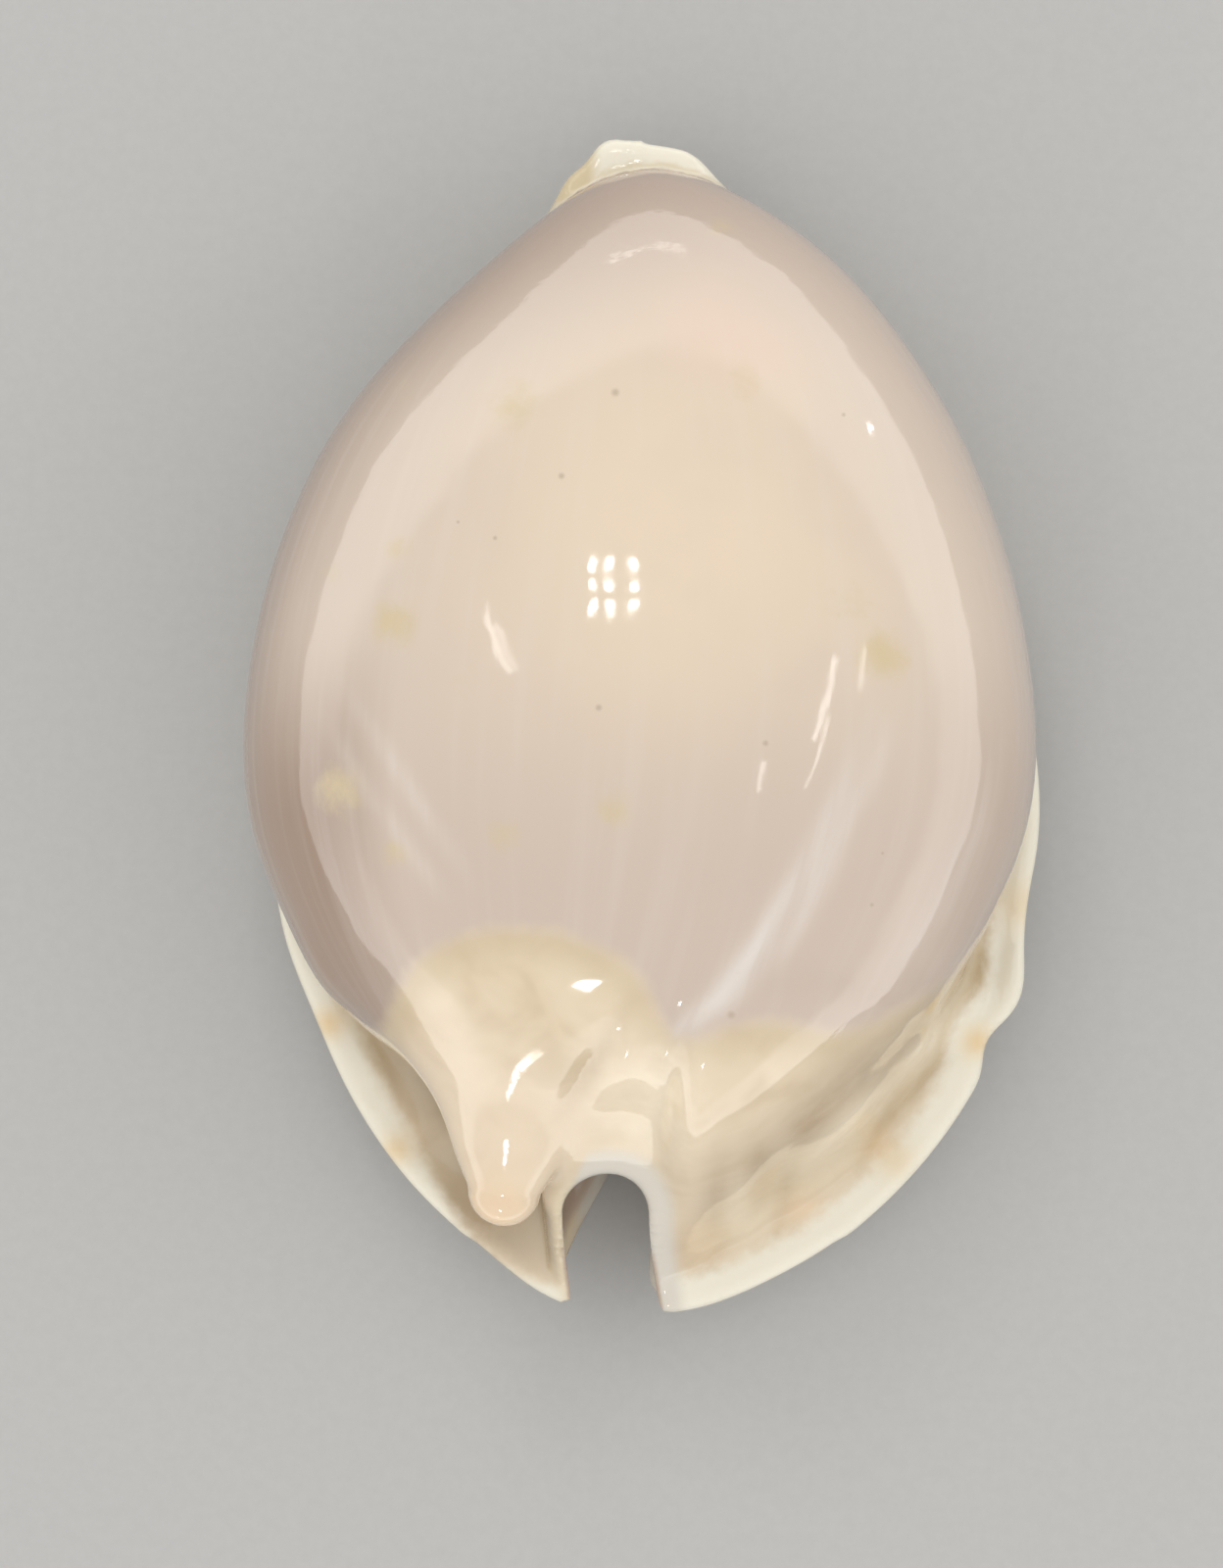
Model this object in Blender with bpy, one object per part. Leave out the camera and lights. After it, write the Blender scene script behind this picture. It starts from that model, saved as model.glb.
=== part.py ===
"""A margined cowrie shell with a bare spire: one hollow piece, lying on its base.

The dorsum is up (+Z). The narrow anterior end points to +Y, the spire and the posterior canal to -Y, and
the outer lip is on the +X side. The shell is worked out in millimetres as one field, which is negative
inside its substance, and is meshed where that field is zero. The object is in metres.
"""

import bpy
import numpy as np

MM = 0.001

# Meshing: the grid that the field is read on, and the size of the finished mesh
CELL = 0.5
LOW = (-21.5, -30.5, -1.2)
HIGH = (21.5, 30.5, 33.0)
TRIANGLES = 9600
SETTLE_ROUNDS = 3
STEPS_A_ROUND = 3

# Body whorl: an egg, drawn out to a narrow anterior end
EGG_MIDDLE_Y = -1.0
EGG_REACH_ANTERIOR = 28.7
EGG_REACH_POSTERIOR = 19.0
EGG_REACH_CHANGE = 10.0
EGG_HEIGHT_SHARE = 1.02
EGG_LOWER_HEIGHT = 14.0

# Margin: a callus plate under the egg, its rim turned up, its underside the base that the shell stands on
HUB_Y = -6.0
RIM_THICKNESS = 2.3
RIM_ROUNDING = 1.8
VALLEY_DEPTH = 0.9
VALLEY_WIDTH = 1.6
BASE_SINK = 0.5
BASE_LIFT_WIDTH = 3.4
BASE_BOW = 0.9
BASE_BOW_AT = 15.0
BASE_ROUNDING = 1.0
GROOVE_FILLET = 1.3
LOBE_FILLET = 9.0
LEFT_LOBE_SHARE = 0.15

# Spire: a blunt cone that stands out of the left side of the posterior end
SPIRE_ROOT = (-5.2, -9.0, 17.6)
SPIRE_TIP = (-6.85, -22.8, 14.9)
SPIRE_FILLET = 3.0

# Posterior canal: a vault that runs out of the dome, cut back to two thin walls about a U-shaped notch
VAULT_FILLET_LEFT = 1.4
VAULT_FILLET_RIGHT = 5.5
NOTCH_ARCH_Y = -24.2
NOTCH_HALF_WIDTH = 2.15
NOTCH_FLOOR = 3.2
NOTCH_ROUNDING = 0.8
ARCH_ROUNDING = 2.2
WALL_THICKNESS = 1.1
VAULT_ROOT_Y = 12.0
BORE_ROOT_Y = 14.5
CANAL_REACH = 17.0
TIP_ROUNDING = 0.8

# Aperture: a slot along the base, with rounded, toothed lips
LIP_ROUNDING = 2.4
SLOT_ROOF_ROUNDING = 2.0
TOOTH_PITCH = 2.05
TOOTH_HEIGHT = 0.34
TOOTH_REACH = 1.9
TOOTH_TOP = 3.0

# Chamber: the hollow of the body whorl, over the base and about the inner whorl
SHELL_WALL = 1.9
BASE_THICKNESS = 4.3
CHAMBER_ROUNDING = 2.5
INNER_WHORL_ROOT = (-6.5, -17.0, 10.0)
INNER_WHORL_END = (-3.0, 24.0, 3.5)
INNER_WHORL_ROOT_RADIUS = 6.0
INNER_WHORL_END_RADIUS = 2.2

# Folds of the callus: place, direction in degrees from +X, half length, half width, and rise
FOLDS = (
    ((10.3, -17.3), 40, 4.2, 1.3, -0.42),
    ((10.3, -19.7), 46, 2.8, 1.0, 0.45),
    ((12.3, -20.2), 60, 1.9, 0.7, -0.35),
    ((14.0, -15.8), 54, 2.2, 0.8, 0.35),
    ((14.4, -17.4), 50, 2.0, 0.5, -0.2),
    ((6.6, -22.4), 70, 2.6, 0.9, -0.35),
    ((3.6, -23.4), 92, 2.4, 0.8, -0.2),
    ((-2.5, -16.4), 59, 2.6, 0.8, -0.45),
    ((17.6, -11.8), 80, 2.6, 0.6, -0.3),
    ((-16.0, -12.6), 118, 2.6, 0.7, 0.25),
    ((-13.2, -17.6), 124, 2.8, 0.8, 0.3),
)
FOLDS_FROM_HEIGHT = 3.0

CALLUS_COLOUR = (0.80, 0.68, 0.56)


class Curve:
    """A smooth curve through (place, value) stations: a natural cubic spline, level past its ends."""

    def __init__(self, *stations, turn=None):
        if turn:
            before = [(place - turn, value) for place, value in stations[-3:]]
            after = [(place + turn, value) for place, value in stations[:3]]
            stations = [*before, *stations, *after]
        self.place, self.value = np.array(stations, float).T
        gap = np.diff(self.place)
        rise = np.diff(self.value) / gap
        system = np.eye(len(self.place))
        right = np.zeros(len(self.place))
        for i in range(1, len(self.place) - 1):
            system[i, i - 1 : i + 2] = gap[i - 1], 2 * (gap[i - 1] + gap[i]), gap[i]
            right[i] = 6 * (rise[i] - rise[i - 1])
        self.bend = np.linalg.solve(system, right)

    def __call__(self, place):
        place = np.clip(place, self.place[0], self.place[-1])
        i = np.clip(np.searchsorted(self.place, place) - 1, 0, len(self.place) - 2)
        gap = self.place[i + 1] - self.place[i]
        b = (place - self.place[i]) / gap
        a = 1 - b
        bent = (a**3 - a) * self.bend[i] + (b**3 - b) * self.bend[i + 1]
        return a * self.value[i] + b * self.value[i + 1] + bent * gap**2 / 6


# Along the shell, by y
EGG_HALF_WIDTH = Curve(
    (-20, 20.2), (-8, 19.5), (-1, 19.65), (6, 19.4), (12, 18.9), (16, 18.3), (20, 17.1), (24, 15.4),
    (28, 13.0),
)
EGG_MIDDLE_X = Curve((-20, -0.3), (-4, -0.2), (12, 0.0), (18, 0.4), (24.5, 0.9), (28, 0.4))
EGG_WAIST = Curve((-20, 12.0), (-2, 11.0), (14, 10.0), (28, 8.8))
RIM_TOP = Curve((-29, 5.4), (-18, 6.0), (-4, 6.6), (12, 6.4), (29, 8.0))
CANAL_MIDDLE = Curve((-29, -1.35), (-27, -1.65), (-24.2, -1.88), (-21.5, -1.7), (-14, 0.3))
VAULT_LEFT = Curve((-29, 3.25), (-22.5, 3.3), (-19.3, 4.3), (-16, 5.8), (-13, 7.2))
VAULT_RIGHT = Curve((-29, 3.2), (-26, 3.6), (-23, 5.0), (-19.3, 8.0), (-16, 10.0), (-13, 10.5))
VAULT_TOP = Curve(
    (-29, 5.8), (-27.5, 7.6), (-25.5, 10.8), (-23, 14.6), (-19.3, 18.8), (-16, 21.8), (-13, 24)
)
BORE_HALF_WIDTH = Curve((-23, 2.1), (-15, 2.9))
BORE_TOP = Curve((-23, 12.6), (-15, 13.2))
SLOT_MIDDLE = Curve(
    (-29, -1.8), (-26.5, -1.7), (-22.5, 0.2), (-17, 1.9), (-8, 2.6), (4, 2.6), (18, 2.2), (29, 0.6)
)
SLOT_HALF_WIDTH = Curve(
    (-29, 2.0), (-22, 1.9), (-14, 2.5), (0, 2.6), (14, 2.8), (21, 2.9), (26, 2.3), (29, 1.7)
)
SLOT_ROOF = Curve((-29, 3.6), (-24, 4.4), (-20, 6.8), (-15, 9.0), (12, 9.0), (21, 7.4), (25, 6.2), (29, 5.9))

# Along the spire, from its root at 0 to its tip at 1
SPIRE_RADIUS = Curve(
    (0, 8.4), (0.14, 8.0), (0.3, 6.9), (0.49, 5.6), (0.63, 4.4), (0.75, 3.5), (0.88, 2.7), (1, 1.8)
)

# The rise of the right lobe over its rim, by the way in from the margin's outline
LOBE_RISE = Curve(
    (0, 0), (2, 0.4), (3, 1.4), (4, 3.4), (5, 6.2), (6, 9.2), (7, 12.0), (8, 14.4), (10, 17.4), (12, 18.6)
)

# The margin's reach from the hub, by degrees round it from -Y towards +X
LEFT_OF_TIP = [(-173.6, 33.7), (-171.8, 32.3), (-166.5, 29.6), (-158, 26.6), (-148, 23.7), (-133, 21.3)]
LEFT_SIDE = [(-118, 20.0), (-100, 18.9), (-86, 18.55), (-75, 18.5), (-64, 18.5)]
LEFT_FLANGE = [(-52, 19.1), (-44.6, 19.65), (-32, 20.75), (-20, 22.05), (-10.5, 23.35)]
RIGHT_LOBE = [(1, 23.4), (9, 23.2), (18, 22.65), (26, 22.15), (34.4, 21.6), (43, 21.1)]
RIGHT_NICK = [(52.5, 20.6), (56.2, 20.3), (59.8, 19.7), (66.6, 20.15)]
RIGHT_FLANGE = [(74, 19.85), (81.5, 19.5), (90.6, 19.8), (101.7, 20.2), (108, 20.4)]
RIGHT_SIDE = [(118, 20.6), (129, 21.8), (142, 23.8), (154, 26.6), (166, 30.4)]
RIGHT_OF_TIP = [(173.3, 33.5), (175.6, 34.7), (178, 35.1)]
ANTERIOR_TIP = [(181.3, 35.4), (183.7, 35.15), (184.8, 34.4)]
LEFT_MARGIN = [*LEFT_OF_TIP, *LEFT_SIDE, *LEFT_FLANGE]
RIGHT_MARGIN = [*RIGHT_LOBE, *RIGHT_NICK, *RIGHT_FLANGE, *RIGHT_SIDE, *RIGHT_OF_TIP]
MARGIN = Curve(*LEFT_MARGIN, *RIGHT_MARGIN, *ANTERIOR_TIP, turn=360)


def ramp(start, end, place):
    """0 before start, 1 past end, and smooth between them."""
    t = np.clip((place - start) / (end - start), 0, 1)
    return t * t * t * (t * (6 * t - 15) + 10)


def joined(a, b, fillet):
    """The field of two shapes grown together, with a fillet where they meet."""
    near = np.maximum(fillet - np.abs(a - b), 0) / fillet
    return np.minimum(a, b) - near**3 * fillet / 6


def overlap(a, b, rounding):
    """The field of what two shapes share, with its edges rounded."""
    return -joined(-a, -b, rounding)


def carved(shape, cutter, rounding):
    return overlap(shape, -cutter, rounding)


def cone(x, y, z, root, end, radius):
    """A round cone along the axis from root to end; radius gives its size at each share of that axis."""
    axis = np.subtract(end, root)
    offsets = [place - start for place, start in zip((x, y, z), root)]
    share = sum(offset * run for offset, run in zip(offsets, axis)) / (axis @ axis)
    share = np.clip(share, 0, 1)
    away = sum((offset - share * run) ** 2 for offset, run in zip(offsets, axis))
    return np.sqrt(away) - radius(share)


def tapered(start, end):
    return lambda share: start + (end - start) * share


def egg(x, y, z):
    """The body whorl: its sections are ellipses, and it narrows towards the anterior end."""
    change = ramp(-EGG_REACH_CHANGE, EGG_REACH_CHANGE, y - EGG_MIDDLE_Y)
    reach = EGG_REACH_POSTERIOR + (EGG_REACH_ANTERIOR - EGG_REACH_POSTERIOR) * change
    across = EGG_HALF_WIDTH(y)
    u = (x - EGG_MIDDLE_X(y)) / across
    t = (y - EGG_MIDDLE_Y) / reach
    above = z - EGG_WAIST(y)
    upright = np.where(above > 0, across * EGG_HEIGHT_SHARE, EGG_LOWER_HEIGHT)
    v = above / upright
    size = np.sqrt(u**2 + t**2 + v**2) + 1e-6
    slope = np.sqrt((u / across) ** 2 + (t / reach) ** 2 + (v / upright) ** 2) + 1e-6
    return (size - 1) * size / slope


def inside_margin(x, y):
    """How far a point lies inside the margin's outline, seen from above."""
    along = y - HUB_Y
    angle = np.degrees(np.arctan2(x, -along))
    reach = MARGIN(angle)
    turn = (MARGIN(angle + 1) - MARGIN(angle - 1)) / np.radians(2) / reach
    return (reach - np.hypot(x, along)) / np.sqrt(1 + turn**2)


def base(x, y):
    """The height of the underside: it hangs lowest along the aperture, and is lifted under the rim."""
    near_rim = np.exp(-np.maximum(inside_margin(x, y), 0) / BASE_LIFT_WIDTH)
    bowed = BASE_BOW * (x / BASE_BOW_AT) ** 2 - BASE_SINK
    return bowed + (RIM_TOP(y) - RIM_THICKNESS - bowed) * near_rim


def margin(x, y, z):
    """The callus plate: its upper face dips behind the rim, and rises over the right lobe."""
    depth = inside_margin(x, y)
    inward = np.maximum(depth, 0)
    dip = VALLEY_DEPTH * (1 - np.exp(-inward / VALLEY_WIDTH)) * ramp(-25, -18, -y)
    lobe = ramp(6, 14, -y) * (LEFT_LOBE_SHARE + (1 - LEFT_LOBE_SHARE) * ramp(-3, 3, x))
    top = RIM_TOP(y) - dip + LOBE_RISE(inward) * lobe
    plate = overlap(z - top, base(x, y) - z, RIM_ROUNDING)
    return overlap(plate, -depth, RIM_ROUNDING)


def vault(x, y, z, left, right, top):
    """A tunnel shape over the canal's middle line, with upright sides and a round roof."""
    across = x - CANAL_MIDDLE(y)
    across = np.where(across > 0, across * left / right, across)
    return np.hypot(across, np.maximum(z - top + left, 0)) - left


def canal(x, y, z):
    """The posterior canal's hollow: a U-shaped notch, open to the sky, and the bore that runs in from it."""
    past_arch = np.maximum(y - NOTCH_ARCH_Y, 0)
    notch = np.hypot(x - CANAL_MIDDLE(y), past_arch) - NOTCH_HALF_WIDTH
    bore = vault(x, y, z, BORE_HALF_WIDTH(y), BORE_HALF_WIDTH(y), BORE_TOP(y))
    bore = overlap(bore, y + BORE_ROOT_Y, NOTCH_ROUNDING)
    return overlap(np.minimum(notch, bore), NOTCH_FLOOR - z, NOTCH_ROUNDING)


def relief(x, y, z):
    """How far the folds of the callus stand out, or lie sunk."""
    total = 0
    for (place_x, place_y), degrees, half_length, half_width, rise in FOLDS:
        run, climb = np.cos(np.radians(degrees)), np.sin(np.radians(degrees))
        along = (x - place_x) * run + (y - place_y) * climb
        across = (y - place_y) * run - (x - place_x) * climb
        total = total + rise * np.exp(-((along / half_length) ** 2) - (across / half_width) ** 2)
    return total * ramp(FOLDS_FROM_HEIGHT, FOLDS_FROM_HEIGHT + 2, z)


def slot(x, y, z):
    """The aperture, cut up through the base into the chamber."""
    across = np.abs(x - SLOT_MIDDLE(y)) - SLOT_HALF_WIDTH(y)
    return overlap(across, z - SLOT_ROOF(y), SLOT_ROOF_ROUNDING)


def teeth(x, y, z):
    """How far the lips' teeth stand out: strong on the outer lip, weak at the middle of the inner one."""
    from_lip = np.abs(x - SLOT_MIDDLE(y)) - SLOT_HALF_WIDTH(y)
    wave = np.cos(2 * np.pi * y / TOOTH_PITCH)
    inner = 0.45 + 0.55 * (ramp(2, 12, y) + ramp(8, 14, -y))
    strength = np.where(x > SLOT_MIDDLE(y), 1.0, inner)
    ends = ramp(-23, -19, y) * ramp(-23, -19, -y)
    fade = np.exp(-((from_lip / TOOTH_REACH) ** 2)) * ramp(-TOOTH_TOP - 1, -TOOTH_TOP + 1, -z)
    return TOOTH_HEIGHT * wave * strength * ends * fade


def chamber(x, y, z):
    """The hollow of the body whorl, which winds about the inner whorl."""
    hollow = overlap(egg(x, y, z) + SHELL_WALL, BASE_THICKNESS - z, CHAMBER_ROUNDING)
    radius = tapered(INNER_WHORL_ROOT_RADIUS, INNER_WHORL_END_RADIUS)
    inner_whorl = cone(x, y, z, INNER_WHORL_ROOT, INNER_WHORL_END, radius)
    return carved(hollow, inner_whorl, CHAMBER_ROUNDING)


def cowrie(x, y, z):
    """The whole shell's field: negative inside its substance."""
    lobe = ramp(7, 15, -y) * ramp(-1, 4, x)
    shell = joined(egg(x, y, z), margin(x, y, z), GROOVE_FILLET + (LOBE_FILLET - GROOVE_FILLET) * lobe)
    shell = joined(shell, cone(x, y, z, SPIRE_ROOT, SPIRE_TIP, SPIRE_RADIUS), SPIRE_FILLET)
    hood = vault(x, y, z, VAULT_LEFT(y), VAULT_RIGHT(y), VAULT_TOP(y))
    hood = overlap(hood, y + VAULT_ROOT_Y, WALL_THICKNESS)
    to_right = ramp(-1.8, 3, x)
    shell = joined(shell, hood, VAULT_FILLET_LEFT + (VAULT_FILLET_RIGHT - VAULT_FILLET_LEFT) * to_right)
    shell = shell - relief(x, y, z)
    past_tips = -inside_margin(x, y) - CANAL_REACH * ramp(-26, -22, y)
    shell = overlap(shell, past_tips, TIP_ROUNDING)
    shell = overlap(shell, base(x, y) - z, BASE_ROUNDING)
    arched = ramp(-25, -22, y)
    shell = carved(shell, canal(x, y, z), NOTCH_ROUNDING + (ARCH_ROUNDING - NOTCH_ROUNDING) * arched)
    shell = carved(shell, slot(x, y, z), LIP_ROUNDING) - teeth(x, y, z)
    return carved(shell, chamber(x, y, z), SLOT_ROOF_ROUNDING)


def steepest(field, points):
    """The field and its slope at each point."""
    reach = 0.05
    slopes = []
    for axis in range(3):
        shift = np.zeros(3)
        shift[axis] = reach
        slopes.append((field(*(points + shift).T) - field(*(points - shift).T)) / (2 * reach))
    return field(*points.T), np.stack(slopes, axis=1)


def settled(field, points, cell):
    """Points moved along the field's slope until they lie on its surface."""
    for _ in range(STEPS_A_ROUND):
        value, slope = steepest(field, points)
        step = value[:, None] * slope / np.maximum((slope**2).sum(axis=1), 0.05)[:, None]
        length = np.linalg.norm(step, axis=1)[:, None]
        points = points - step * np.minimum(1, cell / 2 / np.maximum(length, 1e-9))
    return points


def neighbours_mean(points, quads):
    """The middle of each point's neighbours, along the quads' sides."""
    ends = np.concatenate([quads, np.roll(quads, -1, axis=1)], axis=0).reshape(2, -1)
    total = np.zeros_like(points)
    count = np.zeros(len(points))
    for a, b in (ends, ends[::-1]):
        count += np.bincount(a, minlength=len(points))
        for axis in range(3):
            total[:, axis] += np.bincount(a, weights=points[b, axis], minlength=len(points))
    return total / count[:, None]


def untangled(inside):
    """The grid's inside flags, filled in where two parts would touch along one edge only."""
    for _ in range(3):
        for axis in range(3):
            flags = inside.transpose([axis, (axis + 1) % 3, (axis + 2) % 3])
            a, b, c, d = flags[:, :-1, :-1], flags[:, 1:, 1:], flags[:, 1:, :-1], flags[:, :-1, 1:]
            crossing = (a & b & ~c & ~d) | (~a & ~b & c & d)
            a |= crossing
            c |= crossing
    return inside


def skin(field, low, high, cell):
    """The surface where the field is zero: a point in each grid cell it crosses, joined by quads."""
    x, y, z = (np.arange(start, end, cell) for start, end in zip(low, high))
    inside = untangled(field(x[:, None, None], y[None, :, None], z[None, None, :]) < 0)
    corners = inside.astype(np.int8)
    for axis in range(3):
        corners = np.delete(corners, 0, axis) + np.delete(corners, -1, axis)
    crossed = (corners > 0) & (corners < 8)
    number = np.cumsum(crossed).reshape(crossed.shape) - 1
    points = np.array(low) + (np.argwhere(crossed) + 0.5) * cell
    quads = []
    for axis in range(3):
        order = [axis, (axis + 1) % 3, (axis + 2) % 3]
        node = inside.transpose(order)
        cells = number.transpose(order)
        for rising in (True, False):
            leaves = (node[:-1] == rising) & (node[1:] != rising)
            i, j, k = np.nonzero(leaves[:, 1:-1, 1:-1])
            ring = [cells[i, j, k], cells[i, j + 1, k], cells[i, j + 1, k + 1], cells[i, j, k + 1]]
            quads.append(np.stack(ring if rising else ring[::-1], axis=1))
    quads = np.concatenate(quads)
    points = settled(field, points, cell)
    for _ in range(SETTLE_ROUNDS):
        points = settled(field, (points + neighbours_mean(points, quads)) / 2, cell)
    points[:, 2] = np.maximum(points[:, 2], 0)
    points[:, :2] -= (points[:, :2].min(axis=0) + points[:, :2].max(axis=0)) / 2
    return points, quads


def shell_material():
    material = bpy.data.materials.new("shell")
    material.use_nodes = True
    finish = material.node_tree.nodes["Principled BSDF"]
    finish.inputs["Base Color"].default_value = (*CALLUS_COLOUR, 1)
    finish.inputs["Roughness"].default_value = 0.15
    finish.inputs["Metallic"].default_value = 0.0
    return material


def main():
    for old in list(bpy.data.objects):
        bpy.data.objects.remove(old)
    points, quads = skin(cowrie, LOW, HIGH, CELL)
    mesh = bpy.data.meshes.new("shell")
    mesh.from_pydata((points * MM).tolist(), [], quads.tolist())
    mesh.materials.append(shell_material())
    shell = bpy.data.objects.new("shell", mesh)
    bpy.context.scene.collection.objects.link(shell)
    thin = shell.modifiers.new("thin_out", "DECIMATE")
    thin.ratio = TRIANGLES / (2 * len(quads))
    mesh.shade_smooth()


main()
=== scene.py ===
"""The looks of a margined cowrie shell: surface, colours and gloss, with the floor, the light and the camera.

The shell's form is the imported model's, worked out again from the same named values and meshed more finely.
Shape values are in millimetres, in the shell's own frame. Objects are in metres.
"""

import math

import bpy
import numpy as np
from mathutils import Matrix, Vector


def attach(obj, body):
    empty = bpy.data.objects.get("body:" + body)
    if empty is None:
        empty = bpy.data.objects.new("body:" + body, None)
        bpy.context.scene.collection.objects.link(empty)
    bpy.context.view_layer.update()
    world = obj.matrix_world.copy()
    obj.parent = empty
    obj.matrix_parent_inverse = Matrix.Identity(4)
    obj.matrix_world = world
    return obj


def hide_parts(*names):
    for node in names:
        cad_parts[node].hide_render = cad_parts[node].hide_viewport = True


MM = 0.001

# Meshing: the grid that the field is read on
CELL = 0.4
LOW = (-21.5, -30.5, -1.2)
HIGH = (21.5, 30.5, 33.0)
SETTLE_ROUNDS = 3
STEPS_A_ROUND = 3

# Body whorl: an egg, drawn out to a narrow anterior end
EGG_MIDDLE_Y = -1.0
EGG_REACH_ANTERIOR = 28.7
EGG_REACH_POSTERIOR = 19.0
EGG_REACH_CHANGE = 10.0
EGG_HEIGHT_SHARE = 1.02
EGG_LOWER_HEIGHT = 14.0

# Margin: a callus plate under the egg, its rim turned up, its underside the base that the shell stands on
HUB_Y = -6.0
RIM_THICKNESS = 2.3
RIM_ROUNDING = 1.8
VALLEY_DEPTH = 0.9
VALLEY_WIDTH = 1.6
BASE_SINK = 0.5
BASE_LIFT_WIDTH = 3.4
BASE_BOW = 0.9
BASE_BOW_AT = 15.0
BASE_ROUNDING = 1.0
GROOVE_FILLET = 1.3
LOBE_FILLET = 9.0
LEFT_LOBE_SHARE = 0.15

# Spire: a blunt cone that stands out of the left side of the posterior end
SPIRE_ROOT = (-5.2, -9.0, 17.6)
SPIRE_TIP = (-6.85, -22.8, 14.9)
SPIRE_FILLET = 3.0

# Posterior canal: a vault that runs out of the dome, cut back to two thin walls about a U-shaped notch
VAULT_FILLET_LEFT = 1.4
VAULT_FILLET_RIGHT = 5.5
NOTCH_ARCH_Y = -24.2
NOTCH_HALF_WIDTH = 2.15
NOTCH_FLOOR = 3.2
NOTCH_ROUNDING = 0.8
ARCH_ROUNDING = 2.2
WALL_THICKNESS = 1.1
VAULT_ROOT_Y = 12.0
BORE_ROOT_Y = 14.5
CANAL_REACH = 17.0
TIP_ROUNDING = 0.8

# Aperture: a slot along the base, with rounded, toothed lips
LIP_ROUNDING = 2.4
SLOT_ROOF_ROUNDING = 2.0
TOOTH_PITCH = 2.05
TOOTH_HEIGHT = 0.34
TOOTH_REACH = 1.9
TOOTH_TOP = 3.0

# Chamber: the hollow of the body whorl, over the base and about the inner whorl
SHELL_WALL = 1.9
BASE_THICKNESS = 4.3
CHAMBER_ROUNDING = 2.5
INNER_WHORL_ROOT = (-6.5, -17.0, 10.0)
INNER_WHORL_END = (-3.0, 24.0, 3.5)
INNER_WHORL_ROOT_RADIUS = 6.0
INNER_WHORL_END_RADIUS = 2.2

# Folds of the callus: place, direction in degrees from +X, half length, half width, and rise
FOLDS = (
    ((10.3, -17.3), 40, 4.2, 1.3, -0.42),
    ((10.3, -19.7), 46, 2.8, 1.0, 0.45),
    ((12.3, -20.2), 60, 1.9, 0.7, -0.35),
    ((14.0, -15.8), 54, 2.2, 0.8, 0.35),
    ((14.4, -17.4), 50, 2.0, 0.5, -0.2),
    ((6.6, -22.4), 70, 2.6, 0.9, -0.35),
    ((3.6, -23.4), 92, 2.4, 0.8, -0.2),
    ((-2.5, -16.4), 59, 2.6, 0.8, -0.45),
    ((17.6, -11.8), 80, 2.6, 0.6, -0.3),
    ((-16.0, -12.6), 118, 2.6, 0.7, 0.25),
    ((-13.2, -17.6), 124, 2.8, 0.8, 0.3),
)
FOLDS_FROM_HEIGHT = 3.0

# Blotches of the dorsum and the margin: place, radius and strength
OCHRE = (
    ((-6.2, 15.5), 1.7, 0.75),
    ((5.0, 16.7), 1.3, 0.6),
    ((3.8, 24.6), 1.0, 0.6),
    ((-11.8, 8.6), 0.9, 0.7),
    ((-15.2, 7.4), 0.8, 0.5),
    ((-12.0, 5.0), 1.3, 1.0),
    ((-8.8, 2.0), 1.1, 0.5),
    ((-19.1, 4.5), 1.3, 0.7),
    ((-14.7, -3.1), 1.5, 0.9),
    ((-12.0, -6.2), 0.9, 0.8),
    ((-6.7, -5.3), 1.1, 0.7),
    ((-1.4, -4.0), 1.2, 0.8),
    ((11.6, 3.3), 1.4, 1.0),
    ((9.7, 5.9), 1.5, 0.5),
    ((-11.8, 16.7), 0.9, 0.6),
)
AMBER = (
    ((-15.7, -14.8), 0.8, 0.7),
    ((-12.3, -21.1), 0.8, 0.6),
    ((16.7, -15.7), 0.8, 0.7),
    ((12.6, -21.6), 0.9, 0.4),
    ((19.1, -8.9), 1.2, 0.4),
)
PINK = (
    ((3.1, 19.6), 2.6, 0.8),
    ((6.0, 18.1), 2.0, 0.6),
)
CREAM = (((1.8, 9.0), 12.5, 0.95),)

# Strokes on the posterior callus: place, direction in degrees from +X, half sizes, and strength. The shaded
# strokes are painted shade in the hollows of the folds, partly a brown tint
SHADED = (
    ((10.4, -17.4), 41, 3.6, 1.3, 0.75),
    ((14.3, -14.0), 46, 2.8, 0.8, 1.0),
    ((8.0, -19.6), 45, 1.2, 0.8, 0.9),
    ((12.1, -19.7), 62, 1.8, 0.5, 1.0),
    ((14.2, -17.3), 50, 2.2, 0.45, 0.8),
    ((5.6, -21.4), 80, 1.2, 0.9, 0.8),
    ((7.1, -22.9), 80, 1.5, 0.5, 0.7),
    ((3.6, -23.0), 84, 2.0, 0.6, 0.6),
    ((17.0, -11.6), 76, 2.4, 0.4, 0.9),
    ((-2.4, -16.3), 59, 2.6, 0.6, 0.6),
    ((-14.6, -12.0), 128, 3.4, 0.9, 0.8),
)
# Painted light: pale strokes on the crests of the raised folds and over the hood's crest
PAINTED_LIGHT_STROKES = (
    ((10.2, -19.8), 46, 2.3, 0.8, 1.0),
    ((14.0, -15.9), 54, 2.0, 0.6, 0.9),
    ((4.8, -24.2), 84, 1.8, 0.7, 0.5),
    ((0.4, -18.4), 80, 3.0, 2.8, 1.3),
    ((-9.6, -14.0), 110, 3.0, 0.8, 0.4),
)
# Peach tint of the callus: place, radius and strength
PEACH = (
    ((7.9, -24.3), 1.2, 0.7),
    ((2.9, -25.6), 1.2, 0.6),
    ((12.1, -21.0), 0.9, 0.7),
    ((-7.2, -23.6), 1.4, 0.9),
)
LEFT_TIP = (((-7.4, -25.8), 4.6, 1.2),)

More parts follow.
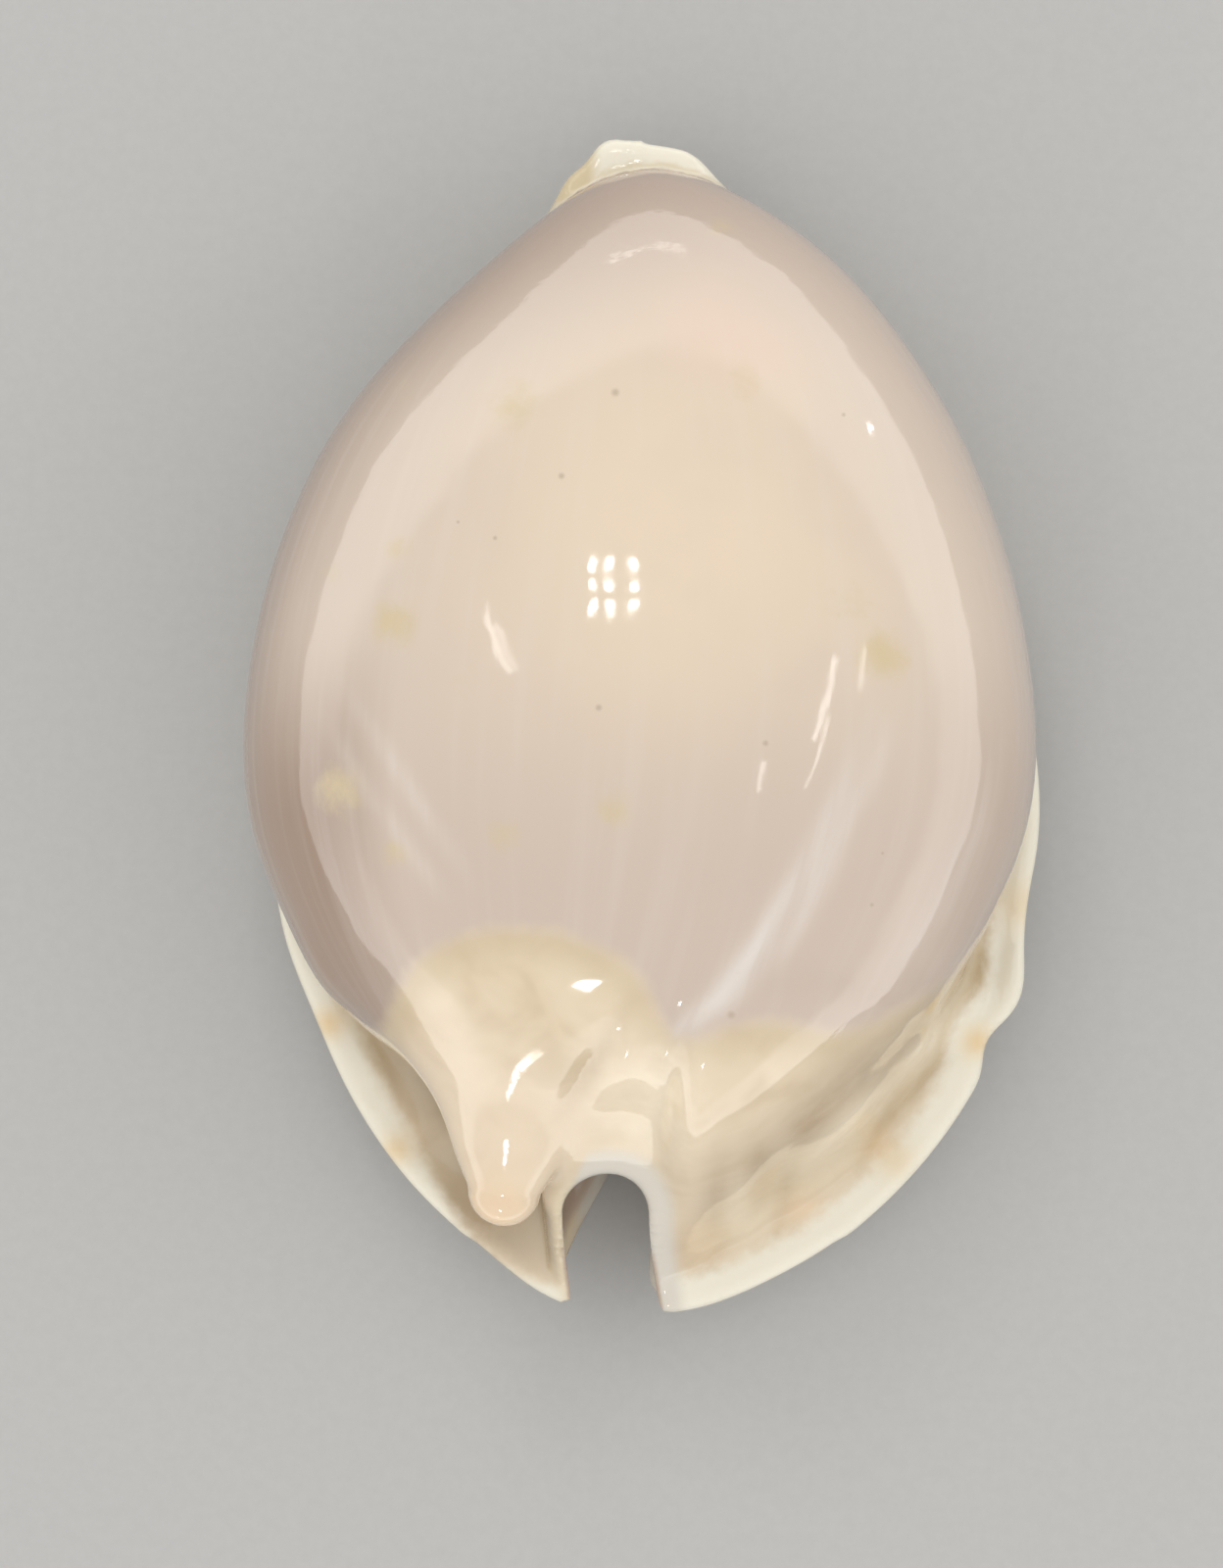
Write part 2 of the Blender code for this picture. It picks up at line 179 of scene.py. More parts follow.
# Grey-brown specks of the dorsum: place and radius
SPECKS = (
    ((-1.4, 16.1), 0.30),
    ((-4.0, 12.0), 0.24),
    ((-7.2, 9.0), 0.16),
    ((-9.0, 9.8), 0.12),
    ((-2.2, 0.8), 0.24),
    ((5.8, -0.9), 0.22),
    ((9.7, 15.1), 0.16),
    ((4.2, -14.0), 0.30),
    ((11.0, -8.7), 0.16),
    ((11.5, -6.2), 0.12),
)

# Pale streaks along the growth of the dorsum: half width, strength, and the places that they run through
RIGHT_STREAK = (
    (-0.8, -16.3), (1.5, -14.9), (3.5, -13.2), (5.6, -10.4), (7.6, -7.0), (9.4, -3.2), (11.0, 0.5)
)
STREAKS = (
    (0.55, 0.9, RIGHT_STREAK),
    (0.50, 0.5, ((6.6, -10.6), (8.8, -6.6), (11.0, -2.2), (12.2, 1.0))),
    (0.55, 0.4, ((2.6, -14.4), (4.9, -12.6), (7.6, -9.4), (10.2, -5.4))),
    (0.45, 0.45, ((-14.6, 2.2), (-12.4, -1.4), (-10.0, -5.0), (-8.4, -7.6))),
    (0.45, 0.35, ((-15.6, 0.6), (-13.2, -3.4), (-10.6, -7.0), (-9.2, -8.8))),
    (0.50, 0.3, ((12.4, -12.0), (14.4, -9.0), (16.2, -5.0), (17.2, -1.0))),
)
STREAK_ENDS = (0.04, 0.96)
FAR_AWAY = 1000.0

# The long axis that the growth lines run round, as (x, y, z) at each end
AXIS_POSTERIOR = (-4.0, -18.0, 13.0)
AXIS_ANTERIOR = (-0.6, 28.0, 9.0)

# Colours of the photo, 0 to 255, as they look where the light is full
DORSUM_CREAM = (237, 219, 195)
DORSUM_MAUVE = (216, 201, 187)
# Greyer mauve down the dorsum's sides, with painted shade: darker low down, and darker on the left than on
# the right
DORSUM_LEFT_SHADE = (166, 146, 132)
DORSUM_RIGHT_SHADE = (206, 189, 176)
DORSUM_LOW = (203, 186, 173)
# Painted shade in the valley where the dorsum meets the left margin
VALLEY_PAINTED_SHADE = (168, 147, 131)
OCHRE_TINT = (216, 197, 156)
PINK_TINT = (233, 208, 190)
STREAK_WHITE = (232, 224, 216)
SPECK_BROWN = (190, 173, 154)
CALLUS_TAN = (226, 208, 180)
# Painted shade on the callus's steep faces
CALLUS_STEEP_SHADE = (216, 197, 168)
CALLUS_EDGE_TAN = (212, 194, 164)
# Brown mottle of the callus, and painted shade in the hollows of its folds
CALLUS_BROWN_AND_SHADE = (190, 168, 136)
# Cream mottle of the callus, and painted light on the crests of its folds and over the hood
CALLUS_CREAM_AND_LIGHT = (245, 231, 206)
SPIRE_TINT = (240, 222, 198)
PEACH_TINT = (240, 210, 174)
# Tan with painted shade in the groove between the left flange and the spire
GROOVE_TAN_AND_SHADE = (120, 103, 80)
RIM_WHITE = (248, 243, 226)
NOTCH_WHITE = (226, 220, 208)
WALL_CREAM = (234, 220, 192)
# Pinkish tint, with painted shade, low inside the canal
CANAL_PINK_AND_SHADE = (206, 186, 168)
AMBER_TINT = (238, 205, 146)
LAYER_TAN = (222, 206, 172)
BASE_WHITE = (240, 232, 216)
INSIDE_MAUVE = (226, 208, 200)
FLOOR_GREYS = ((196, 196, 195), (199, 199, 198))

# The light on a surface of base colour 1, and the glare over every surface
FULL_LIGHT = 1.08
GLARE = 0.05

# Finish of the shell: gloss, light let in, and the height of its bump in millimetres
ROUGHNESS = (0.05, 0.08)
REFRACTION = 1.6
LIGHT_LET_IN = 0.12
LIGHT_REACH = 1.2
LIGHT_REACH_BY_COLOUR = (1.0, 0.7, 0.5)
BUMP_HEIGHT = 0.1
BUMP_STRENGTH = 0.5
GROWTH_LINES = 42.0

# The photo: its size in pixels, a pixel's size on the shell, and where the shell's origin lies in it
PHOTO_WIDTH = 1248
PHOTO_HEIGHT = 1600
PIXEL = 0.04874
ORIGIN_COLUMN = 656.5
ORIGIN_ROW = 742.0

# Camera: high over the shell, its frame set at the level of the shell's widest outline
CAMERA_HEIGHT = 600.0
FRAMED_LEVEL = 9.0
SENSOR = 36.0
RAY_STEPS = 120
RAY_CAUTION = 0.6

# Lamps, each set where the shell mirrors it to the camera: both ends in the photo, width and radiance
LAMP_DISTANCE = 500.0
LAMP_LENGTH = (6.0, 160.0)
LAMP_COLOUR = (1.0, 0.97, 0.93)
PANEL_COLUMNS = (607, 624, 645)
PANEL_ROWS = (577, 597, 620)
PANEL_HALF_HEIGHT = 4
PANEL_WIDTH = 15.0
PANEL_RADIANCE = 45.0
GLINTS = (
    ((528, 1092), (525, 1112), 6.0, 30.0),
    ((516, 1180), (514, 1190), 40.0, 30.0),
    ((890, 435), (889, 441), 6.0, 40.0),
    ((494, 616), (521, 683), 14.0, 5.0),
    ((507, 631), (528, 679), 9.0, 3.5),
    ((857, 650), (822, 770), 16.0, 5.5),
    ((851, 700), (812, 820), 10.0, 4.5),
    ((777, 779), (774, 808), 14.0, 4.5),
    ((885, 656), (879, 703), 12.0, 3.5),
    ((590, 292), (722, 263), 8.0, 2.4),
)

SKY_COLOUR = (1.0, 0.988, 0.975, 1.0)

# The table top, a hair under the shell's base so that the two faces don't coincide
FLOOR_RADIUS = 58.0
FLOOR_MIDDLE_Y = -3.0
FLOOR_LEVEL = -0.02
FLOOR_CORNERS = 96


class Curve:
    """A smooth curve through (place, value) stations: a natural cubic spline, level past its ends."""

    def __init__(self, *stations, turn=None):
        if turn:
            before = [(place - turn, value) for place, value in stations[-3:]]
            after = [(place + turn, value) for place, value in stations[:3]]
            stations = [*before, *stations, *after]
        self.place, self.value = np.array(stations, float).T
        gap = np.diff(self.place)
        rise = np.diff(self.value) / gap
        system = np.eye(len(self.place))
        right = np.zeros(len(self.place))
        for i in range(1, len(self.place) - 1):
            system[i, i - 1 : i + 2] = gap[i - 1], 2 * (gap[i - 1] + gap[i]), gap[i]
            right[i] = 6 * (rise[i] - rise[i - 1])
        self.bend = np.linalg.solve(system, right)

    def __call__(self, place):
        place = np.clip(place, self.place[0], self.place[-1])
        i = np.clip(np.searchsorted(self.place, place) - 1, 0, len(self.place) - 2)
        gap = self.place[i + 1] - self.place[i]
        b = (place - self.place[i]) / gap
        a = 1 - b
        bent = (a**3 - a) * self.bend[i] + (b**3 - b) * self.bend[i + 1]
        return a * self.value[i] + b * self.value[i + 1] + bent * gap**2 / 6


# Along the shell, by y
EGG_HALF_WIDTH = Curve(
    (-20, 20.2), (-8, 19.5), (-1, 19.65), (6, 19.4), (12, 18.9), (16, 18.3), (20, 17.1), (24, 15.4),
    (28, 13.0),
)
EGG_MIDDLE_X = Curve((-20, -0.3), (-4, -0.2), (12, 0.0), (18, 0.4), (24.5, 0.9), (28, 0.4))
EGG_WAIST = Curve((-20, 12.0), (-2, 11.0), (14, 10.0), (28, 8.8))
RIM_TOP = Curve((-29, 5.4), (-18, 6.0), (-4, 6.6), (12, 6.4), (29, 8.0))
CANAL_MIDDLE = Curve((-29, -1.35), (-27, -1.65), (-24.2, -1.88), (-21.5, -1.7), (-14, 0.3))
VAULT_LEFT = Curve((-29, 3.25), (-22.5, 3.3), (-19.3, 4.3), (-16, 5.8), (-13, 7.2))
VAULT_RIGHT = Curve((-29, 3.2), (-26, 3.6), (-23, 5.0), (-19.3, 8.0), (-16, 10.0), (-13, 10.5))
VAULT_TOP = Curve(
    (-29, 5.8), (-27.5, 7.6), (-25.5, 10.8), (-23, 14.6), (-19.3, 18.8), (-16, 21.8), (-13, 24)
)
BORE_HALF_WIDTH = Curve((-23, 2.1), (-15, 2.9))
BORE_TOP = Curve((-23, 12.6), (-15, 13.2))
SLOT_MIDDLE = Curve(
    (-29, -1.8), (-26.5, -1.7), (-22.5, 0.2), (-17, 1.9), (-8, 2.6), (4, 2.6), (18, 2.2), (29, 0.6)
)
SLOT_HALF_WIDTH = Curve(
    (-29, 2.0), (-22, 1.9), (-14, 2.5), (0, 2.6), (14, 2.8), (21, 2.9), (26, 2.3), (29, 1.7)
)
SLOT_ROOF = Curve(
    (-29, 3.6), (-24, 4.4), (-20, 6.8), (-15, 9.0), (12, 9.0), (21, 7.4), (25, 6.2), (29, 5.9)
)

# Along the spire, from its root at 0 to its tip at 1
SPIRE_RADIUS = Curve(
    (0, 8.4), (0.14, 8.0), (0.3, 6.9), (0.49, 5.6), (0.63, 4.4), (0.75, 3.5), (0.88, 2.7), (1, 1.8)
)

# The rise of the right lobe over its rim, by the way in from the margin's outline
LOBE_RISE = Curve(
    (0, 0), (2, 0.4), (3, 1.4), (4, 3.4), (5, 6.2), (6, 9.2), (7, 12.0), (8, 14.4), (10, 17.4), (12, 18.6)
)

# The margin's reach from the hub, by degrees round it from -Y towards +X
LEFT_OF_TIP = [(-173.6, 33.7), (-171.8, 32.3), (-166.5, 29.6), (-158, 26.6), (-148, 23.7), (-133, 21.3)]
LEFT_SIDE = [(-118, 20.0), (-100, 18.9), (-86, 18.55), (-75, 18.5), (-64, 18.5)]
LEFT_FLANGE = [(-52, 19.1), (-44.6, 19.65), (-32, 20.75), (-20, 22.05), (-10.5, 23.35)]
RIGHT_LOBE = [(1, 23.4), (9, 23.2), (18, 22.65), (26, 22.15), (34.4, 21.6), (43, 21.1)]
RIGHT_NICK = [(52.5, 20.6), (56.2, 20.3), (59.8, 19.7), (66.6, 20.15)]
RIGHT_FLANGE = [(74, 19.85), (81.5, 19.5), (90.6, 19.8), (101.7, 20.2), (108, 20.4)]
RIGHT_SIDE = [(118, 20.6), (129, 21.8), (142, 23.8), (154, 26.6), (166, 30.4)]
RIGHT_OF_TIP = [(173.3, 33.5), (175.6, 34.7), (178, 35.1)]
ANTERIOR_TIP = [(181.3, 35.4), (183.7, 35.15), (184.8, 34.4)]
LEFT_MARGIN = [*LEFT_OF_TIP, *LEFT_SIDE, *LEFT_FLANGE]
RIGHT_MARGIN = [*RIGHT_LOBE, *RIGHT_NICK, *RIGHT_FLANGE, *RIGHT_SIDE, *RIGHT_OF_TIP]
MARGIN = Curve(*LEFT_MARGIN, *RIGHT_MARGIN, *ANTERIOR_TIP, turn=360)

# The line on the dorsum that the posterior callus reaches up to, by x
CALLUS_LEFT = [(-17.9, -10.1), (-15.9, -13.1), (-14.0, -14.9)]
CALLUS_GROOVE = [(-13.0, -14.9), (-12.0, -13.0), (-10.2, -10.9)]
CALLUS_SPIRE = [(-8.2, -10.0), (-6.2, -9.8), (-4.0, -10.0), (-1.8, -10.9), (0.2, -12.9), (1.1, -14.6)]
CALLUS_RIGHT = [(2.2, -15.2), (3.6, -14.8), (5.0, -14.4), (7.4, -14.5), (9.8, -14.9), (12.5, -13.8)]
CALLUS_FLANGE = [(14.4, -12.8), (17.1, -10.1), (18.2, -7.7), (18.9, -5.0)]
CALLUS_LINE = Curve(*CALLUS_LEFT, *CALLUS_GROOVE, *CALLUS_SPIRE, *CALLUS_RIGHT, *CALLUS_FLANGE)


def ramp(start, end, place):
    """0 before start, 1 past end, and smooth between them."""
    t = np.clip((place - start) / (end - start), 0, 1)
    return t * t * t * (t * (6 * t - 15) + 10)


def joined(a, b, fillet):
    """The field of two shapes grown together, with a fillet where they meet."""
    near = np.maximum(fillet - np.abs(a - b), 0) / fillet
    return np.minimum(a, b) - near**3 * fillet / 6


def overlap(a, b, rounding):
    """The field of what two shapes share, with its edges rounded."""
    return -joined(-a, -b, rounding)


def carved(shape, cutter, rounding):
    return overlap(shape, -cutter, rounding)


def cone(x, y, z, root, end, radius):
    """A round cone along the axis from root to end; radius gives its size at each share of that axis."""
    axis = np.subtract(end, root)
    offsets = [place - start for place, start in zip((x, y, z), root)]
    share = sum(offset * run for offset, run in zip(offsets, axis)) / (axis @ axis)
    share = np.clip(share, 0, 1)
    away = sum((offset - share * run) ** 2 for offset, run in zip(offsets, axis))
    return np.sqrt(away) - radius(share)


def tapered(start, end):
    return lambda share: start + (end - start) * share


def egg(x, y, z):
    """The body whorl: its sections are ellipses, and it narrows towards the anterior end."""
    change = ramp(-EGG_REACH_CHANGE, EGG_REACH_CHANGE, y - EGG_MIDDLE_Y)
    reach = EGG_REACH_POSTERIOR + (EGG_REACH_ANTERIOR - EGG_REACH_POSTERIOR) * change
    across = EGG_HALF_WIDTH(y)
    u = (x - EGG_MIDDLE_X(y)) / across
    t = (y - EGG_MIDDLE_Y) / reach
    above = z - EGG_WAIST(y)
    upright = np.where(above > 0, across * EGG_HEIGHT_SHARE, EGG_LOWER_HEIGHT)
    v = above / upright
    size = np.sqrt(u**2 + t**2 + v**2) + 1e-6
    slope = np.sqrt((u / across) ** 2 + (t / reach) ** 2 + (v / upright) ** 2) + 1e-6
    return (size - 1) * size / slope


def inside_margin(x, y):
    """How far a point lies inside the margin's outline, seen from above."""
    along = y - HUB_Y
    angle = np.degrees(np.arctan2(x, -along))
    reach = MARGIN(angle)
    turn = (MARGIN(angle + 1) - MARGIN(angle - 1)) / np.radians(2) / reach
    return (reach - np.hypot(x, along)) / np.sqrt(1 + turn**2)


def base(x, y):
    """The height of the underside: it hangs lowest along the aperture, and is lifted under the rim."""
    near_rim = np.exp(-np.maximum(inside_margin(x, y), 0) / BASE_LIFT_WIDTH)
    bowed = BASE_BOW * (x / BASE_BOW_AT) ** 2 - BASE_SINK
    return bowed + (RIM_TOP(y) - RIM_THICKNESS - bowed) * near_rim


def margin(x, y, z):
    """The callus plate: its upper face dips behind the rim, and rises over the right lobe."""
    depth = inside_margin(x, y)
    inward = np.maximum(depth, 0)
    dip = VALLEY_DEPTH * (1 - np.exp(-inward / VALLEY_WIDTH)) * ramp(-25, -18, -y)
    lobe = ramp(6, 14, -y) * (LEFT_LOBE_SHARE + (1 - LEFT_LOBE_SHARE) * ramp(-3, 3, x))
    top = RIM_TOP(y) - dip + LOBE_RISE(inward) * lobe
    plate = overlap(z - top, base(x, y) - z, RIM_ROUNDING)
    return overlap(plate, -depth, RIM_ROUNDING)


def vault(x, y, z, left, right, top):
    """A tunnel shape over the canal's middle line, with upright sides and a round roof."""
    across = x - CANAL_MIDDLE(y)
    across = np.where(across > 0, across * left / right, across)
    return np.hypot(across, np.maximum(z - top + left, 0)) - left


def canal(x, y, z):
    """The posterior canal's hollow: a U-shaped notch, open to the sky, and the bore that runs in from it."""
    past_arch = np.maximum(y - NOTCH_ARCH_Y, 0)
    notch = np.hypot(x - CANAL_MIDDLE(y), past_arch) - NOTCH_HALF_WIDTH
    bore = vault(x, y, z, BORE_HALF_WIDTH(y), BORE_HALF_WIDTH(y), BORE_TOP(y))
    bore = overlap(bore, y + BORE_ROOT_Y, NOTCH_ROUNDING)
    return overlap(np.minimum(notch, bore), NOTCH_FLOOR - z, NOTCH_ROUNDING)


def strokes(x, y, places):
    """Soft elongated patches, seen from above."""
    total = 0
    for (place_x, place_y), degrees, half_length, half_width, strength in places:
        run, climb = np.cos(np.radians(degrees)), np.sin(np.radians(degrees))
        along = (x - place_x) * run + (y - place_y) * climb
        across = (y - place_y) * run - (x - place_x) * climb
        total = total + strength * np.exp(-((along / half_length) ** 2) - (across / half_width) ** 2)
    return total


def relief(x, y, z):
    """How far the folds of the callus stand out, or lie sunk."""
    return strokes(x, y, FOLDS) * ramp(FOLDS_FROM_HEIGHT, FOLDS_FROM_HEIGHT + 2, z)


def slot(x, y, z):
    """The aperture, cut up through the base into the chamber."""
    across = np.abs(x - SLOT_MIDDLE(y)) - SLOT_HALF_WIDTH(y)
    return overlap(across, z - SLOT_ROOF(y), SLOT_ROOF_ROUNDING)


def teeth(x, y, z):
    """How far the lips' teeth stand out: strong on the outer lip, weak at the middle of the inner one."""
    from_lip = np.abs(x - SLOT_MIDDLE(y)) - SLOT_HALF_WIDTH(y)
    wave = np.cos(2 * np.pi * y / TOOTH_PITCH)
    inner = 0.45 + 0.55 * (ramp(2, 12, y) + ramp(8, 14, -y))
    strength = np.where(x > SLOT_MIDDLE(y), 1.0, inner)
    ends = ramp(-23, -19, y) * ramp(-23, -19, -y)
    fade = np.exp(-((from_lip / TOOTH_REACH) ** 2)) * ramp(-TOOTH_TOP - 1, -TOOTH_TOP + 1, -z)
    return TOOTH_HEIGHT * wave * strength * ends * fade


def chamber(x, y, z):
    """The hollow of the body whorl, which winds about the inner whorl."""
    hollow = overlap(egg(x, y, z) + SHELL_WALL, BASE_THICKNESS - z, CHAMBER_ROUNDING)
    radius = tapered(INNER_WHORL_ROOT_RADIUS, INNER_WHORL_END_RADIUS)
    inner_whorl = cone(x, y, z, INNER_WHORL_ROOT, INNER_WHORL_END, radius)
    return carved(hollow, inner_whorl, CHAMBER_ROUNDING)


def cowrie(x, y, z):
    """The whole shell's field: negative inside its substance."""
    lobe = ramp(7, 15, -y) * ramp(-1, 4, x)
    shell = joined(egg(x, y, z), margin(x, y, z), GROOVE_FILLET + (LOBE_FILLET - GROOVE_FILLET) * lobe)
    shell = joined(shell, cone(x, y, z, SPIRE_ROOT, SPIRE_TIP, SPIRE_RADIUS), SPIRE_FILLET)
    hood = vault(x, y, z, VAULT_LEFT(y), VAULT_RIGHT(y), VAULT_TOP(y))
    hood = overlap(hood, y + VAULT_ROOT_Y, WALL_THICKNESS)
    to_right = ramp(-1.8, 3, x)
    shell = joined(shell, hood, VAULT_FILLET_LEFT + (VAULT_FILLET_RIGHT - VAULT_FILLET_LEFT) * to_right)
    shell = shell - relief(x, y, z)
    past_tips = -inside_margin(x, y) - CANAL_REACH * ramp(-26, -22, y)
    shell = overlap(shell, past_tips, TIP_ROUNDING)
    shell = overlap(shell, base(x, y) - z, BASE_ROUNDING)
    arched = ramp(-25, -22, y)
    shell = carved(shell, canal(x, y, z), NOTCH_ROUNDING + (ARCH_ROUNDING - NOTCH_ROUNDING) * arched)
    shell = carved(shell, slot(x, y, z), LIP_ROUNDING) - teeth(x, y, z)
    return carved(shell, chamber(x, y, z), SLOT_ROOF_ROUNDING)


def with_slope(field, points):
    """The field and its slope at each point."""
    reach = 0.05
    slopes = []
    for axis in range(3):
        shift = np.zeros(3)
        shift[axis] = reach
        slopes.append((field(*(points + shift).T) - field(*(points - shift).T)) / (2 * reach))
    return field(*points.T), np.stack(slopes, axis=1)


def settled(field, points, cell):
    """Points moved along the field's slope until they lie on its surface."""
    for _ in range(STEPS_A_ROUND):
        value, slope = with_slope(field, points)
        step = value[:, None] * slope / np.maximum((slope**2).sum(axis=1), 0.05)[:, None]
        length = np.linalg.norm(step, axis=1)[:, None]
        points = points - step * np.minimum(1, cell / 2 / np.maximum(length, 1e-9))
    return points


def neighbours_mean(points, quads):
    """The middle of each point's neighbours, along the quads' sides."""
    ends = np.concatenate([quads, np.roll(quads, -1, axis=1)], axis=0).reshape(2, -1)
    total = np.zeros_like(points)
    count = np.zeros(len(points))
    for a, b in (ends, ends[::-1]):
        count += np.bincount(a, minlength=len(points))
        for axis in range(3):
            total[:, axis] += np.bincount(a, weights=points[b, axis], minlength=len(points))
    return total / count[:, None]


def untangled(inside):
    """The grid's inside flags, filled in where two parts would touch along one edge only."""
    for _ in range(3):
        for axis in range(3):
            flags = inside.transpose([axis, (axis + 1) % 3, (axis + 2) % 3])
            a, b, c, d = flags[:, :-1, :-1], flags[:, 1:, 1:], flags[:, 1:, :-1], flags[:, :-1, 1:]
            crossing = (a & b & ~c & ~d) | (~a & ~b & c & d)
            a |= crossing
            c |= crossing
    return inside


def skin(field, low, high, cell):
    """The surface where the field is zero: a point in each grid cell it crosses, joined by quads."""
    x, y, z = (np.arange(start, end, cell) for start, end in zip(low, high))
    inside = untangled(field(x[:, None, None], y[None, :, None], z[None, None, :]) < 0)
    corners = inside.astype(np.int8)
    for axis in range(3):
        corners = np.delete(corners, 0, axis) + np.delete(corners, -1, axis)
    crossed = (corners > 0) & (corners < 8)
    number = np.cumsum(crossed).reshape(crossed.shape) - 1
    points = np.array(low) + (np.argwhere(crossed) + 0.5) * cell
    quads = []
    for axis in range(3):
        order = [axis, (axis + 1) % 3, (axis + 2) % 3]
        node = inside.transpose(order)
        cells = number.transpose(order)
        for rising in (True, False):
            leaves = (node[:-1] == rising) & (node[1:] != rising)
            i, j, k = np.nonzero(leaves[:, 1:-1, 1:-1])
            ring = [cells[i, j, k], cells[i, j + 1, k], cells[i, j + 1, k + 1], cells[i, j, k + 1]]
            quads.append(np.stack(ring if rising else ring[::-1], axis=1))
    quads = np.concatenate(quads)
    points = settled(field, points, cell)
    for _ in range(SETTLE_ROUNDS):
        points = settled(field, (points + neighbours_mean(points, quads)) / 2, cell)
    return points, quads


def dabs(x, y, places):
    """Soft round patches, seen from above."""
    total = 0
    for (place_x, place_y), radius, strength in places:
        away = np.hypot(x - place_x, y - place_y) / radius
        total = total + strength * np.exp(-(away**2))
    return total


def streaked(x, y):
    """Soft lines along the growth of the dorsum, seen from above."""
    total = 0
    for half_width, strength, places in STREAKS:
        nearest = np.full_like(x, FAR_AWAY)
        parts = len(places) - 1
        share = np.zeros_like(x)
        for i in range(parts):
            start, step = np.array(places[i]), np.subtract(places[i + 1], places[i])
            t = np.clip(((x - start[0]) * step[0] + (y - start[1]) * step[1]) / (step @ step), 0, 1)
            away = np.hypot(x - start[0] - t * step[0], y - start[1] - t * step[1])
            share = np.where(away < nearest, (i + t) / parts, share)
            nearest = np.minimum(nearest, away)
        ends = np.sin(np.pi * np.clip(share, *STREAK_ENDS))
        total = total + strength * np.exp(-((nearest / half_width) ** 2)) * ends
    return total


def callus_depth(x, y):
    """How far a point lies behind the line that the posterior callus reaches up to, seen from above."""
    slope = (CALLUS_LINE(x + 0.3) - CALLUS_LINE(x - 0.3)) / 0.6
    return (CALLUS_LINE(x) - y) / np.sqrt(1 + slope**2)


def growth(x, y, z):
    """The turn round the long axis: 0 along the crown, and 1 and -1 meet at the base."""
    along = (y - AXIS_POSTERIOR[1]) / (AXIS_ANTERIOR[1] - AXIS_POSTERIOR[1])
    middle_x = AXIS_POSTERIOR[0] + (AXIS_ANTERIOR[0] - AXIS_POSTERIOR[0]) * along
    middle_z = AXIS_POSTERIOR[2] + (AXIS_ANTERIOR[2] - AXIS_POSTERIOR[2]) * along
    return np.arctan2(x - middle_x, z - middle_z) / np.pi


def marks(x, y, z, normal_z):
    """What the shell's colours depend on, for each point, by name."""
    return {
        "behind_callus_line": callus_depth(x, y),
        "over_margin": egg(x, y, z) - margin(x, y, z),
        "from_rim": inside_margin(x, y),
        "from_canal": canal(x, y, z),
        "from_spire": cone(x, y, z, SPIRE_ROOT, SPIRE_TIP, SPIRE_RADIUS),
        "from_chamber": chamber(x, y, z),
        "growth": growth(x, y, z),
        "ochre": dabs(x, y, OCHRE),
        "amber": dabs(x, y, AMBER),
        "pink": dabs(x, y, PINK),
        "cream": dabs(x, y, CREAM),
        # The shaded strokes are painted shade in the folds' hollows, the pale ones painted light on their
        # crests and over the hood
        "shaded": strokes(x, y, SHADED),
        "pale": strokes(x, y, PAINTED_LIGHT_STROKES),
        "peach": dabs(x, y, PEACH),
        "left_tip": dabs(x, y, LEFT_TIP),
        "streak": streaked(x, y),
        "facing_up": normal_z,
    }


class Nodes:
    """A material's nodes, with one short call for each kind that is used here."""

    def __init__(self, owner):
        self.tree = owner.node_tree

    def add(self, kind, **settings):
        node = self.tree.nodes.new(kind)
        for name, value in settings.items():
            setattr(node, name, value)
        return node

    def feed(self, node, socket, value):
        if isinstance(value, bpy.types.NodeSocket):
            self.tree.links.new(value, node.inputs[socket])
        else:
            node.inputs[socket].default_value = value

    def mark(self, name):
        return self.add("ShaderNodeAttribute", attribute_name=name).outputs["Fac"]

    def place(self):
        """The place on the shell, in millimetres."""
        where = self.add("ShaderNodeTexCoord").outputs["Object"]
        scaled = self.add("ShaderNodeVectorMath", operation="SCALE")
        self.feed(scaled, 0, where)
        scaled.inputs["Scale"].default_value = 1 / MM
        return scaled.outputs["Vector"]

    def sums(self, operation, *values, clamp=False):
        node = self.add("ShaderNodeMath", operation=operation, use_clamp=clamp)
        for socket, value in enumerate(values):
            self.feed(node, socket, value)
        return node.outputs[0]

    def step(self, value, start, end, low=0.0, high=1.0):
        """low where the value is at start, high at end, smooth between and level past them."""
        node = self.add("ShaderNodeMapRange", interpolation_type="SMOOTHSTEP")
        for socket, given in enumerate((value, start, end, low, high)):
            self.feed(node, socket, given)
        return node.outputs[0]

    def noise(self, where, scale, detail=2.0, roughness=0.5, distortion=0.0):
        node = self.add("ShaderNodeTexNoise")
        self.feed(node, "Vector", where)
        for name, value in (
            ("Scale", scale),
            ("Detail", detail),
            ("Roughness", roughness),
            ("Distortion", distortion),
        ):
            node.inputs[name].default_value = value
        return node.outputs["Fac"]

    def vector(self, x, y, z):
        node = self.add("ShaderNodeCombineXYZ")
        for socket, value in enumerate((x, y, z)):
            self.feed(node, socket, value)
        return node.outputs[0]

    def mixed(self, share, a, b):
        """Colour a, with b laid over it by a share."""
        node = self.add("ShaderNodeMix", data_type="RGBA")
        self.feed(node, 0, share)
        for socket, colour in ((6, a), (7, b)):
            self.feed(node, socket, colour if isinstance(colour, bpy.types.NodeSocket) else paint(colour))
        return node.outputs[2]


def paint(seen):
    """The base colour that looks like a photo's colour in this light."""
    share = np.array(seen) / 255
    linear = np.where(share > 0.04045, ((share + 0.055) / 1.055) ** 2.4, share / 12.92)
    return (*np.clip((linear - GLARE) / FULL_LIGHT, 0, 1), 1.0)


